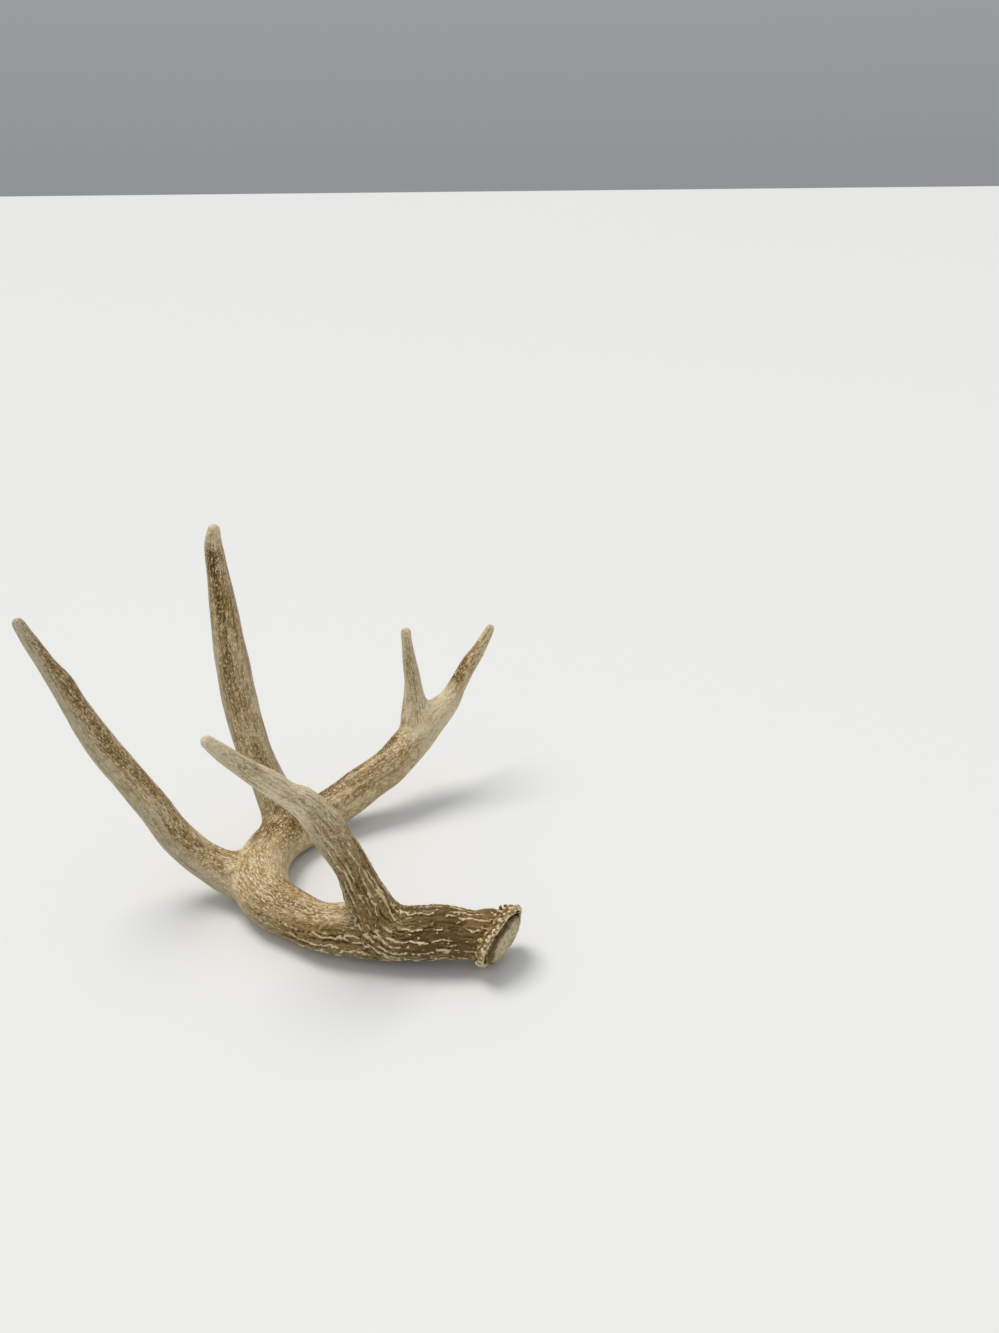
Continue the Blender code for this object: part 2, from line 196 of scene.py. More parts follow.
fourthTine = {
    "name": "fourthTine", "broadSide": (0, -0.85, 0.53), "web": 14,
    "stations": [
        (60.7, 61.3, 44.0, 9.8, 0.90), (59.3, 65.8, 53.0, 9.4, 0.86),
        (59.4, 70.8, 62.0, 8.4, 0.84), (58.8, 73.8, 72.0, 6.5, 0.90),
        (58.4, 75.8, 79.6, 5.4, 0.92), (56.8, 77.8, 92.7, 4.2, 1.00),
        (55.6, 79.8, 103.0, 3.4, 1.00), (55.3, 80.8, 109.0, 3.2, 1.00)],
}
limbs = [mainBeam, browTine, secondTine, thirdTine, fourthTine]
tines = limbs[1:]


def middleLine(stations, step):      # a smooth line through the stations, a row each step of mm
    rows = np.array(stations, float)
    ends = np.vstack([2 * rows[0] - rows[1], rows, 2 * rows[-1] - rows[-2]])
    line = []
    for i in range(1, len(ends) - 2):
        a, b, c, d = ends[i - 1:i + 3]
        count = max(2, round(np.linalg.norm(c[:3] - b[:3]) / step))
        for t in np.arange(count) / count:
            line.append(0.5 * (2 * b + (c - a) * t + (2 * a - 5 * b + 4 * c - d) * t * t
                               + (3 * b - a - 3 * c + d) * t ** 3))
    return np.array(line + [rows[-1]])


def sectionAxes(rows, broadSide):
    along = np.gradient(rows[:, :3], axis=0)
    along /= np.linalg.norm(along, axis=1)[:, None]
    across = np.cross(along, np.array(broadSide, float))
    across /= np.linalg.norm(across, axis=1)[:, None]
    return along, across, np.cross(across, along)


def turnRing(turn, centre):
    for axis, angle in zip("XYZ", turn.to_euler("XYZ")):
        bpy.ops.transform.rotate(value=-angle, orient_axis=axis, orient_type="GLOBAL",
                                 center_override=centre)


limbMesh = {"sides": 28, "ringStep": 3.0, "tipTurns": (24, 48, 72)}


def modelLimb(limb):                 # one ring, extruded from station to station
    rows = middleLine(limb["stations"], limbMesh["ringStep"])
    along, across, through = sectionAxes(rows, limb["broadSide"])
    rings = [(row[:3], row[3], row[3] * row[4], Matrix(axes).transposed())
             for row, axes in zip(rows, zip(across, -through, along))]
    end, half, last = rows[-1, :3], rows[-1, 3], rings[-1]
    for turn in limbMesh["tipTurns"]:                            # the blunt tip
        turn = math.radians(turn)
        rings.append((end + along[-1] * half * math.sin(turn), last[1] * math.cos(turn),
                      last[2] * math.cos(turn), last[3]))
    startClean()
    bpy.ops.mesh.primitive_circle_add(vertices=limbMesh["sides"], radius=mm, fill_type="NGON")
    piece = bpy.context.object
    piece.name = limb["name"]
    bpy.ops.object.mode_set(mode="EDIT")
    bpy.ops.mesh.select_mode(type="FACE")
    bpy.ops.mesh.select_all(action="SELECT")
    centre, wide, thick, turn = rings[0]
    bpy.ops.transform.resize(value=(wide, thick, 1), center_override=(0, 0, 0))
    turnRing(turn, (0, 0, 0))
    bpy.ops.transform.translate(value=centre * mm)
    for nextCentre, nextWide, nextThick, nextTurn in rings[1:]:
        bpy.ops.mesh.extrude_region_move(
            TRANSFORM_OT_translate={"value": (nextCentre - centre) * mm})
        turnRing(nextTurn @ turn.transposed(), nextCentre * mm)
        bpy.ops.transform.resize(value=(nextWide / wide, nextThick / thick, 1),
                                 orient_type="LOCAL", orient_matrix=nextTurn,
                                 orient_matrix_type="LOCAL", center_override=nextCentre * mm)
        centre, wide, thick, turn = nextCentre, nextWide, nextThick, nextTurn
    bpy.ops.mesh.select_all(action="SELECT")
    bpy.ops.mesh.normals_make_consistent(inside=False)
    bpy.ops.object.mode_set(mode="OBJECT")
    return piece


def joinAll(parts, name):
    startClean()
    for part in parts:
        part.select_set(True)
    bpy.context.view_layer.objects.active = parts[0]
    bpy.ops.object.join()
    parts[0].name = name
    return parts[0]


def growTogether(piece, voxel):      # one skin over all that is joined in the piece
    startClean()
    bpy.context.view_layer.objects.active = piece
    piece.select_set(True)
    piece.modifiers.new("skin", "REMESH")
    piece.modifiers["skin"].mode = "VOXEL"
    piece.modifiers["skin"].voxel_size = voxel * mm
    bpy.ops.object.modifier_apply(modifier="skin")


def readRows(items, name, width=3, kind=np.float32):
    flat = np.empty(len(items) * width, kind)
    items.foreach_get(name, flat)
    return flat.reshape(-1, width)


def readPlaces(mesh):
    return readRows(mesh.vertices, "co").astype(np.float64) / mm


def writePlaces(mesh, places):
    mesh.vertices.foreach_set("co", (places * mm).astype(np.float32).ravel())
    mesh.update()


def readNormals(mesh):
    return readRows(mesh.vertex_normals, "vector").astype(np.float64)


def readEdges(mesh):
    return readRows(mesh.edges, "vertices", 2, np.int32)


def toPoints(edges, first, second, size):    # what each edge gives its two points, added up
    return np.bincount(edges[:, 0], first, size) + np.bincount(edges[:, 1], second, size)


def relax(values, edges, share, passes):     # each point drawn to the middle of its neighbours
    near = np.bincount(edges.ravel(), minlength=len(values))
    for _ in range(passes):
        total = np.stack([toPoints(edges, column[edges[:, 1]], column[edges[:, 0]], len(values))
                          for column in values.T], axis=1)
        values = values + np.reshape(share, (-1, 1)) * (total / near[:, None] - values)
    return values


webs = {
    "voxel": 1.1, "reach": 31, "fade": 1.4,      # mm, mm, and how soon it fades out
    "draw": 0.5, "passes": 26, "fillRounds": 12, "fillPasses": 24,
    "shrink": 0.50, "swell": 0.52, "skinPasses": 4,
}


def smoothWebs(piece):               # the crotch of each fork is rounded into a web
    mesh = piece.data
    places, edges = readPlaces(mesh), readEdges(mesh)
    near = np.zeros(len(places))
    for tine in tines:
        fork = middleLine(tine["stations"], 1.0)[round(tine["web"]), :3]
        gap = np.linalg.norm(places - fork, axis=1) / webs["reach"]
        near = np.maximum(near, np.clip(webs["fade"] - webs["fade"] * gap, 0, 1))
    places = relax(places, edges, webs["draw"] * near, webs["passes"])
    for _ in range(webs["fillRounds"]):          # creases fill up, ridges stay as they are
        writePlaces(mesh, places)
        facing = readNormals(mesh)
        for _ in range(webs["fillPasses"]):
            drawn = relax(places, edges, webs["draw"] * near, 1)
            rise = ((drawn - places) * facing).sum(1)
            places = places + facing * np.clip(rise, 0, None)[:, None]
    for _ in range(webs["skinPasses"]):          # smoother, at the same size
        places = relax(places, edges, webs["shrink"], 1)
        places = relax(places, edges, -webs["swell"], 1)
    writePlaces(mesh, places)


body = joinAll([modelLimb(limb) for limb in limbs], "antlerBody")
print("limbs modelled:", len(body.data.vertices), "points")
growTogether(body, webs["voxel"])
smoothWebs(body)
print("limbs grown together")

# the burr

burr = {
    "centre": (114.6, -96.0, 17.3), "facing": (0.80, -0.53, -0.27),
    # sizes in mm, and each set is how far before or behind the centre the shape lies.
    # The discs fill the rim and flare back to the beam: two radii, depth and set.
    "rimRadius": 16.3, "rimWidth": 1.3, "rimStretch": 1.15, "rimSet": -2.2,
    "discs": ((16.3, 16.3, 2.4, -4.8), (10.4, 16.0, 6, -7), (12.4, 12.4, 4, -3.2)),
    "faceRadius": 13.2, "faceCrown": 3.5, "faceShift": (0.5, -0.3, 0.1),
    "knobs": 26, "knobSize": (0.9, 1.8), "knobReach": 18.7, "knobUneven": 0.9,
    "knobSet": (-3.6, -1.7), "bigKnobGap": 9,
    "bigKnobs": ((72, 2.3), (30, 2.4)),          # degrees round the rim, size
    "pearls": 38, "pearlSize": (0.6, 1.1),
    "pearlFrom": (16.5, -4.0), "pearlSlope": (3.2, 5.0),         # radius and set
    "droop": 2.0, "droopFrom": (14.4, 16.1), "seed": 4,
    # degrees round the rim, their spread, and the change in reach or the darker band's width in mm
    "flat": (116, 32, -0.14), "dip": (238, 34, 0.03), "darkBand": (180, 60, 1.5),
    # masks laid on it: ranges of height over the centre and of radius
    "reach": 30, "zone": (-7.5, -4.0), "faceZone": (-1.6, 0.0), "faceEdge": 14.0,
    "creviceAt": 14.5, "creviceZone": (-6.2, -4.2), "rimZone": (-5.0, -3.0),
    "rimFrom": (14.8, 16.1), "darkBandEdge": (11.6, 13.4),
}
burrFacing = Vector(burr["facing"]).normalized()
burrUp = (Vector((0, 0, 1)) - burrFacing * burrFacing.z).normalized()
burrSide = burrUp.cross(burrFacing)
burrTurn = Matrix((burrSide, burrUp, burrFacing)).transposed().to_4x4()
burrPlace = Matrix.Translation(Vector(burr["centre"]) * mm) @ burrTurn


def between(value, low, high):       # 0 at low, 1 at high, smooth in between
    t = np.clip((value - low) / (high - low), 0, 1)
    return t * t * (3 - 2 * t)


def atTurn(turn, kind):              # how much of this the burr has at a turn in degrees
    middle, spread, _ = burr[kind]
    return np.exp(-((turn - middle) / spread) ** 2)


def burrOutline(turn):               # the rim's reach at this turn, as a share of a circle's
    return 1 + burr["flat"][2] * atTurn(turn, "flat") + burr["dip"][2] * atTurn(turn, "dip")


def modelBurr():
    draw = random.Random(burr["seed"])
    parts = []
    startClean()
    bpy.ops.mesh.primitive_torus_add(major_radius=burr["rimRadius"] * mm,
                                     minor_radius=burr["rimWidth"] * mm,
                                     major_segments=96, minor_segments=20)
    bpy.ops.transform.resize(value=(1, 1, burr["rimStretch"]), center_override=(0, 0, 0))
    bpy.ops.transform.translate(value=(0, 0, burr["rimSet"] * mm))
    parts.append(bpy.context.object)
    for narrow, wide, depth, height in burr["discs"]:
        bpy.ops.mesh.primitive_cone_add(vertices=64, radius1=narrow * mm, radius2=wide * mm,
                                        depth=depth * mm, location=(0, 0, height * mm))
        parts.append(bpy.context.object)
    bpy.ops.mesh.primitive_uv_sphere_add(segments=64, ring_count=32,
                                         radius=burr["faceRadius"] * mm)
    bpy.ops.transform.resize(value=(1, 1, burr["faceCrown"] / burr["faceRadius"]),
                             center_override=(0, 0, 0))
    bpy.ops.transform.translate(value=[shift * mm for shift in burr["faceShift"]])
    parts.append(bpy.context.object)
    knobs = list(burr["bigKnobs"])
    for k in range(burr["knobs"]):
        turn = 360 * (k + draw.uniform(-0.5, 0.5)) / burr["knobs"]
        if all(abs(turn - big) > burr["bigKnobGap"] for big, _ in burr["bigKnobs"]):
            knobs.append((turn, draw.uniform(*burr["knobSize"])))
    beads = [(turn, size, burr["knobReach"] - size - draw.uniform(0, burr["knobUneven"]),
              draw.uniform(*burr["knobSet"])) for turn, size in knobs]
    radius, height = burr["pearlFrom"]
    narrower, lower = burr["pearlSlope"]
    for _ in range(burr["pearls"]):              # small ones on the slope behind the rim
        back = draw.uniform(0, 1)
        beads.append((draw.uniform(0, 360), draw.uniform(*burr["pearlSize"]),
                      radius - narrower * back, height - lower * back))
    for turn, size, reach, height in beads:
        turn = math.radians(turn)
        bpy.ops.mesh.primitive_ico_sphere_add(
            subdivisions=3, radius=size * mm,
            location=(reach * math.cos(turn) * mm, reach * math.sin(turn) * mm, height * mm))
        parts.append(bpy.context.object)
    rim = joinAll(parts, "burr")
    startClean()
    rim.select_set(True)
    bpy.ops.object.transform_apply(location=True, rotation=True, scale=True)
    places = readPlaces(rim.data)                # a little out of round
    turn = np.degrees(np.arctan2(places[:, 1], places[:, 0])) % 360
    places[:, :2] *= burrOutline(turn)[:, None]
    outer = between(np.linalg.norm(places[:, :2], axis=1), *burr["droopFrom"])
    places[:, 2] -= burr["droop"] * atTurn(turn, "dip") * outer
    writePlaces(rim.data, places)
    rim.data.transform(burrPlace)
    return rim


skin = {"voxel": 0.5}                # mm
body = joinAll([body, modelBurr()], "antlerBody")
growTogether(body, skin["voxel"])
print("one skin:", len(body.data.vertices), "points")

# where each point lies on its limb

reading = {
    "step": 2.0, "pastEnd": 1.5,     # mm
    "sharpness": 6,                  # how soon a limb gives way to the next one
    "chunk": 20000,                  # points at a time
}


def readLimbs(limb):                 # rows, axes and lengths of the limb's middle line
    rows = middleLine(limb["stations"], reading["step"])
    along, across, through = sectionAxes(rows, limb["broadSide"])
    steps = np.linalg.norm(np.diff(rows[:, :3], axis=0), axis=1)
    return rows, along, across, through, np.concatenate([[0], np.cumsum(steps)])


def nearestRow(places, rows):
    found = np.empty(len(places), int)
    middle, size = rows[:, :3].astype(np.float32), rows[:, 3].astype(np.float32) ** 2
    for start in range(0, len(places), reading["chunk"]):
        part = places[start:start + reading["chunk"]].astype(np.float32)
        gap = (part ** 2).sum(1)[:, None] + (middle ** 2).sum(1)[None] - 2 * part @ middle.T
        found[start:start + reading["chunk"]] = (gap / size).argmin(1)
    return found


def limbCoordinates(places):         # for each limb: length along, angle round, share, direction
    out = []
    for limb in limbs:
        rows, along, across, through, lengths = readLimbs(limb)
        at = nearestRow(places, rows)
        offset = places - rows[at, :3]
        ahead = (offset * along[at]).sum(1).clip(-reading["pastEnd"], reading["pastEnd"])
        flat = offset - ahead[:, None] * along[at]
        angle = np.arctan2((flat * through[at]).sum(1), (flat * across[at]).sum(1))
        share = np.linalg.norm(flat, axis=1) / rows[at, 3]
        out.append((lengths[at] + ahead, angle, share, along[at]))
    weights = np.stack([np.exp(-reading["sharpness"] * share) for _, _, share, _ in out])
    return out, weights / weights.sum(0)


# noise that runs with the grain: the last number that each noise is given is its seed

noiseShift, noiseGain = 300.5, 1.7   # all places above zero, and the noise up to about 1


def softNoise(places, cell, seed):   # smooth noise, about -1 to 1, one swell per cell of mm
    draw = np.random.default_rng(seed)
    order = draw.permutation(256)
    leaning = draw.normal(size=(256, 3)).astype(np.float32)
    leaning /= np.linalg.norm(leaning, axis=1)[:, None]
    scaled = (places / cell).astype(np.float32) + np.float32(noiseShift)
    corner = np.floor(scaled).astype(np.int32)
    inside = scaled - corner
    fade = inside ** 3 * (inside * (inside * 6 - 15) + 10)
    total = np.zeros(len(places), np.float32)
    for dx in (0, 1):
        first = order[(corner[:, 0] + dx) & 255]
        wx = fade[:, 0] if dx else 1 - fade[:, 0]
        for dy in (0, 1):
            second = order[(first + corner[:, 1] + dy) & 255]
            wy = wx * (fade[:, 1] if dy else 1 - fade[:, 1])
            for dz in (0, 1):
                lean = leaning[order[(second + corner[:, 2] + dz) & 255]]
                dot = (lean[:, 0] * (inside[:, 0] - dx) + lean[:, 1] * (inside[:, 1] - dy)
                       + lean[:, 2] * (inside[:, 2] - dz))
                total += wy * (fade[:, 2] if dz else 1 - fade[:, 2]) * dot
    return (total * noiseGain).astype(np.float64)


grain = {
    "gridStep": 4.0, "margin": 12, "trailStep": 1.2,     # mm
    "trailCount": 16,                # steps each way
    "waver": 1.1, "waverCell": 5.5,  # mm that the grain sways, and the size of a sway
    "skipShare": 0.6,                # of a cell, between two samples of a streak
    "spread": 2.2,                   # deviations that count as 1
}


def makeGrainGrid():                 # the grain's direction on a coarse grid round the antler
    low = np.array(cadBox[0]) / mm - grain["margin"]
    high = np.array(cadBox[1]) / mm + grain["margin"]
    counts = np.ceil((high - low) / grain["gridStep"]).astype(int) + 1
    nodes = np.stack(np.meshgrid(*[np.arange(n) for n in counts], indexing="ij"), -1)
    places = low + nodes.reshape(-1, 3) * grain["gridStep"]
    coordinates, weights = limbCoordinates(places)
    flow = sum(w[:, None] * direction for w, (_, _, _, direction) in zip(weights, coordinates))
    return low, counts, flow


def grainAt(places, grid):           # that direction at any place
    low, counts, flow = grid
    scaled = np.clip((places - low) / grain["gridStep"], 0, counts - 1.001)
    corner = scaled.astype(int)
    inside = scaled - corner
    total = np.zeros((len(places), 3))
    for dx in (0, 1):
        for dy in (0, 1):
            for dz in (0, 1):
                w = ((inside[:, 0] if dx else 1 - inside[:, 0])
                     * (inside[:, 1] if dy else 1 - inside[:, 1])
                     * (inside[:, 2] if dz else 1 - inside[:, 2]))
                index = (((corner[:, 0] + dx) * counts[1] + corner[:, 1] + dy) * counts[2]
                         + corner[:, 2] + dz)
                total += w[:, None] * flow[index]
    return total / np.maximum(np.linalg.norm(total, axis=1), 1e-6)[:, None]


def makeTrails(places, grid):        # points before and behind each point, along the grain
    trails = {0: places}
    for sign in (1, -1):
        place = places
        for k in range(1, grain["trailCount"] + 1):
            heading = grainAt(place, grid)
            place = place + sign * grain["trailStep"] * heading
            trails[sign * k] = place
    return trails


def streaks(trails, cell, reach, seed):       # noise drawn out along the grain, about -1 to 1
    skip = max(1, round(grain["skipShare"] * cell / grain["trailStep"]))
    steps = [k for k in trails if abs(k) * grain["trailStep"] <= reach and k % skip == 0]
    total = sum(softNoise(trails[k], cell, seed) for k in steps)
    return total / (grain["spread"] * total.std())


places = readPlaces(body.data)
edges = readEdges(body.data)
coordinates, weights = limbCoordinates(places)
waver = np.stack([softNoise(places, grain["waverCell"], seed) for seed in (61, 62, 63)], axis=1)
grid = makeGrainGrid()
waver *= grain["waver"] * (1 - 0.5 * weights[1])[:, None]
trails = makeTrails(places + waver, grid)
print("grain drawn")

# relief, stain and painted light: shade, highlight and sheen


def mixLimbs(tables):                # a value for each limb along its length, blended at forks
    return sum(w * np.interp(s, *zip(*table))
               for w, (s, _, _, _), table in zip(weights, coordinates, tables))


patches = {"round": 12.0, "apart": 40, "least": 0.03}    # mm, mm, smallest share of a limb


def alongNoise(across, along, seed):     # long patches of one width that follow each limb
    total = np.zeros(len(places))
    for number, (w, (s, angle, _, _)) in enumerate(zip(weights, coordinates)):
        near = w > patches["least"]
        way = np.stack([np.cos(angle) * patches["round"], np.sin(angle) * patches["round"],
                        s * across / along], 1)
        total[near] += w[near] * softNoise(way[near] + patches["apart"] * number, across, seed)
    return total / np.sqrt((weights ** 2).sum(0))


def spot(place, reach):              # 1 at the place, and fading round it
    return np.exp(-(np.linalg.norm(places - np.array(place), axis=1) / reach) ** 2)


def evenLines(noise, width):         # lines of even width where the noise climbs sideways
    gap = np.linalg.norm(places[edges[:, 0]] - places[edges[:, 1]], axis=1)
    change = np.abs(noise[edges[:, 0]] - noise[edges[:, 1]]) / gap
    size = len(noise)
    slope = toPoints(edges, change, change, size)
    slope = 1.57 * slope / np.bincount(edges.ravel(), minlength=size)    # 1.57: edges lie askew
    slope = relax(slope[:, None], edges, 1, 3)[:, 0]
    climb = ((noise[edges[:, 1]] - noise[edges[:, 0]])[:, None]
             * (places[edges[:, 1]] - places[edges[:, 0]]))
    climb = np.stack([toPoints(edges, part, part, size) for part in climb.T], axis=1)
    climb = relax(climb, edges, 1, 2)
    sideways = (climb * sideWay).sum(1) / (np.linalg.norm(climb, axis=1) + 1e-9)
    return np.exp(-(noise / (slope * width + 0.02)) ** 2) * between(sideways, 0.1, 0.6)


relief = {
    # heights, cell sizes, reaches along the grain and line widths, in mm
    "cordHeight": 1.0, "cordCell": 2.8, "cordReach": 19.2, "cordWidth": 0.64,
    "wispCell": 1.9, "wispReach": 12.0, "wispWidth": 0.40, "wispShare": 0.7,
    "ridgeHeight": 0.50, "ridgeCell": 1.3, "ridgeReach": 13.2,
    "fibreHeight": 0.10, "fibreCell": 0.9, "fibreReach": 6.0,
    "beadHeight": 0.28, "beadCell": 1.7, "pearlHeight": 0.35,
    "swellHeight": 0.45, "swellCell": (5.5, 14.0), "patchCell": (4.0, 9.0),
    "waveHeight": 0.45, "waveCell": 19, "wander": 0.15, "wanderCell": 4.5,
    "faceGrit": (0.20, 1.3), "faceSwell": (0.55, 4.2), "rimGrit": (0.30, 1.6),   # height, cell
    "neckEnd": (58, 84),             # past here only the beam's outer side is crested
    "outerTurn": 182, "outerEdge": (0.45, 0.88),         # degrees, and cosines from there
    # swellings and dents: place, reach and rise in mm
    "bumps": [((-31.0, 3.0, 33.0), 7.5, 1.3), ((-30.0, -55.0, 22.0), 8.0, 2.0),
              ((-33.0, -20.0, 25.0), 8.0, -1.2),
              ((-29.0, -19.0, 28.0), 9.0, -2.2), ((35.0, -88.0, 35.0), 6.0, 1.3),
              ((69.5, 70.5, 64.0), 4.0, 0.9), ((51.0, 57.0, 52.0), 5.0, 0.7),
              ((32.0, -80.0, 27.0), 6.0, 1.0),
              ((-30.0, -9.0, 27.0), 7.5, -1.8), ((105.5, -99.5, 6.5), 6.5, 1.8),
              ((16.0, -87.0, 107.0), 6.5, -1.2), ((20.0, 34.0, 32.0), 7.0, 0.8),
              ((-98.0, -38.0, 138.0), 9.0, 1.3), ((-104.0, -38.0, 152.0), 8.0, -0.9),
              ((-68.0, -38.0, 82.0), 6.0, 0.7), ((-78.0, -38.0, 94.0), 5.0, -0.8),
              ((-47.0, 40.0, 176.0), 5.0, -0.5)],
    # how crested and pearled each limb is along its length, in mm from its root
    "crested": [
        [(0, 0.8), (15, 1.0), (75, 1.0), (100, 0.85), (122, 0.5), (140, 0)],
        [(0, 1.0), (30, 0.85), (48, 0.45), (66, 0)],
        [(0, 0)], [(0, 0)], [(0, 0)]],
    # how much of it is long ridges with grooves between them
    "ridged": [
        [(0, 0.45), (60, 0.55), (90, 0.35), (125, 0.12), (150, 0.04)],
        [(0, 0.8), (20, 1.0), (60, 1.0), (84, 0.7), (110, 0.36), (140, 0.14)],
        [(0, 0.08), (50, 0.12), (150, 0.08)],
        [(0, 0.08), (50, 0.12), (160, 0.06)],
        [(0, 0.08), (60, 0.06)]],
}
facing = readNormals(body.data)
facing = relax(facing, edges, 1, 8)
facing /= np.linalg.norm(facing, axis=1)[:, None]

sideWay = np.cross(grainAt(places, grid), facing)        # across the grain, along the skin
sideWay /= np.linalg.norm(sideWay, axis=1)[:, None] + 1e-9

fromBurr = places - np.array(burr["centre"])
burrHeight = fromBurr @ np.array(burrFacing)
burrRound = np.linalg.norm(fromBurr - burrHeight[:, None] * np.array(burrFacing), axis=1)
onBurr = between(burrHeight, *burr["zone"])
onBurr *= np.linalg.norm(fromBurr, axis=1) < burr["reach"]
burrTurnAt = np.arctan2(fromBurr @ np.array(burrUp), fromBurr @ np.array(burrSide))
burrTurnAt = np.degrees(burrTurnAt) % 360
burrRound = burrRound / burrOutline(burrTurnAt)
onFace = between(burrHeight, *burr["faceZone"]) * (onBurr > 0.5)
onFace *= between(burr["faceEdge"] - burrRound, 0, 0.5)
onRim = onBurr * (1 - onFace)
crevice = onBurr * np.exp(-(burrRound - burr["creviceAt"]) ** 2)
crevice *= between(burrHeight, *burr["creviceZone"])

beamLength, beamAngle = coordinates[0][0], coordinates[0][1]
beamShare = weights[0]
outerSide = np.cos(beamAngle - math.radians(relief["outerTurn"]))
outerSide = between(outerSide, *relief["outerEdge"])
past = beamShare * between(beamLength, *relief["neckEnd"])
bottom = between(-facing[:, 2], 0.1, 0.8)
crested = mixLimbs(relief["crested"]) * (1 - past * (1 - outerSide)) * (1 - onBurr)
crested *= 1 - 0.5 * bottom
ridged = mixLimbs(relief["ridged"]) * (1 - 0.8 * past * (1 - outerSide)) * (1 - onBurr)
bead = softNoise(places, relief["beadCell"], 3)
cord = streaks(trails, relief["cordCell"], relief["cordReach"], 5)
fine = streaks(trails, relief["ridgeCell"], relief["ridgeReach"], 6)
fibre = streaks(trails, relief["fibreCell"], relief["fibreReach"], 7)
swell = alongNoise(*relief["swellCell"], 31)
patch = alongNoise(*relief["patchCell"], 32)
wander = relief["wander"] * softNoise(places, relief["wanderCell"], 16) + 0.05 * bead
crest = evenLines(cord + wander, relief["cordWidth"])
crest *= between(patch + 0.2 * bead, -0.60, -0.10)               # broken here and there
wisp = streaks(trails, relief["wispCell"], relief["wispReach"], 15)
wisp = evenLines(wisp + 0.08 * bead, relief["wispWidth"])
wisp *= between(-patch - 0.4 * bead, -0.05, 0.5)                 # thin crests in the gaps
crest = np.maximum(crest, relief["wispShare"] * wisp) * np.clip(0.95 + 0.35 * bead, 0.45, 1.25)
pearl = crested * between(bead, 0.52, 0.78)
rugged = 0.8 * fine + 0.45 * bead + 0.35 * swell         # the ground between the crests
height = (relief["cordHeight"] * (crest - 0.25) + relief["beadHeight"] * bead
          + relief["pearlHeight"] * pearl + relief["swellHeight"] * swell)
share = crested * (1 - 0.4 * weights[1])                         # less on the brow tine
share = share * (1 - 0.45 * between(facing[:, 1], 0.0, 0.6))     # and on the inner side
height *= share
height += np.clip(ridged + 0.5 * crested, 0, 1) * relief["ridgeHeight"] * np.clip(fine, -0.9, 0.9)
fibrous = 0.4 + 0.6 * np.clip(crested + ridged, 0, 1)
height += (1 - onBurr) * relief["fibreHeight"] * fibre * fibrous
height += relief["waveHeight"] * softNoise(places, relief["waveCell"], 9) * (1 - 0.8 * onBurr)
for place, reach, rise in relief["bumps"]:
    height += rise * spot(place, reach)
for (rise, cell), seed, where in ((relief["faceGrit"], 10, onFace),
                                  (relief["faceSwell"], 11, onFace),
                                  (relief["rimGrit"], 12, onRim)):
    height += where * rise * softNoise(places, cell, seed)
height -= 0.5 * crevice
raised = places + facing * height[:, None]
writePlaces(body.data, raised)
even = relax(raised, edges, 1, 5)
hollow = ((even - raised) * readNormals(body.data)).sum(1)       # above 0 in the grooves
print("relief raised, groove depth in mm:", round(float(np.percentile(hollow, 95)), 2))

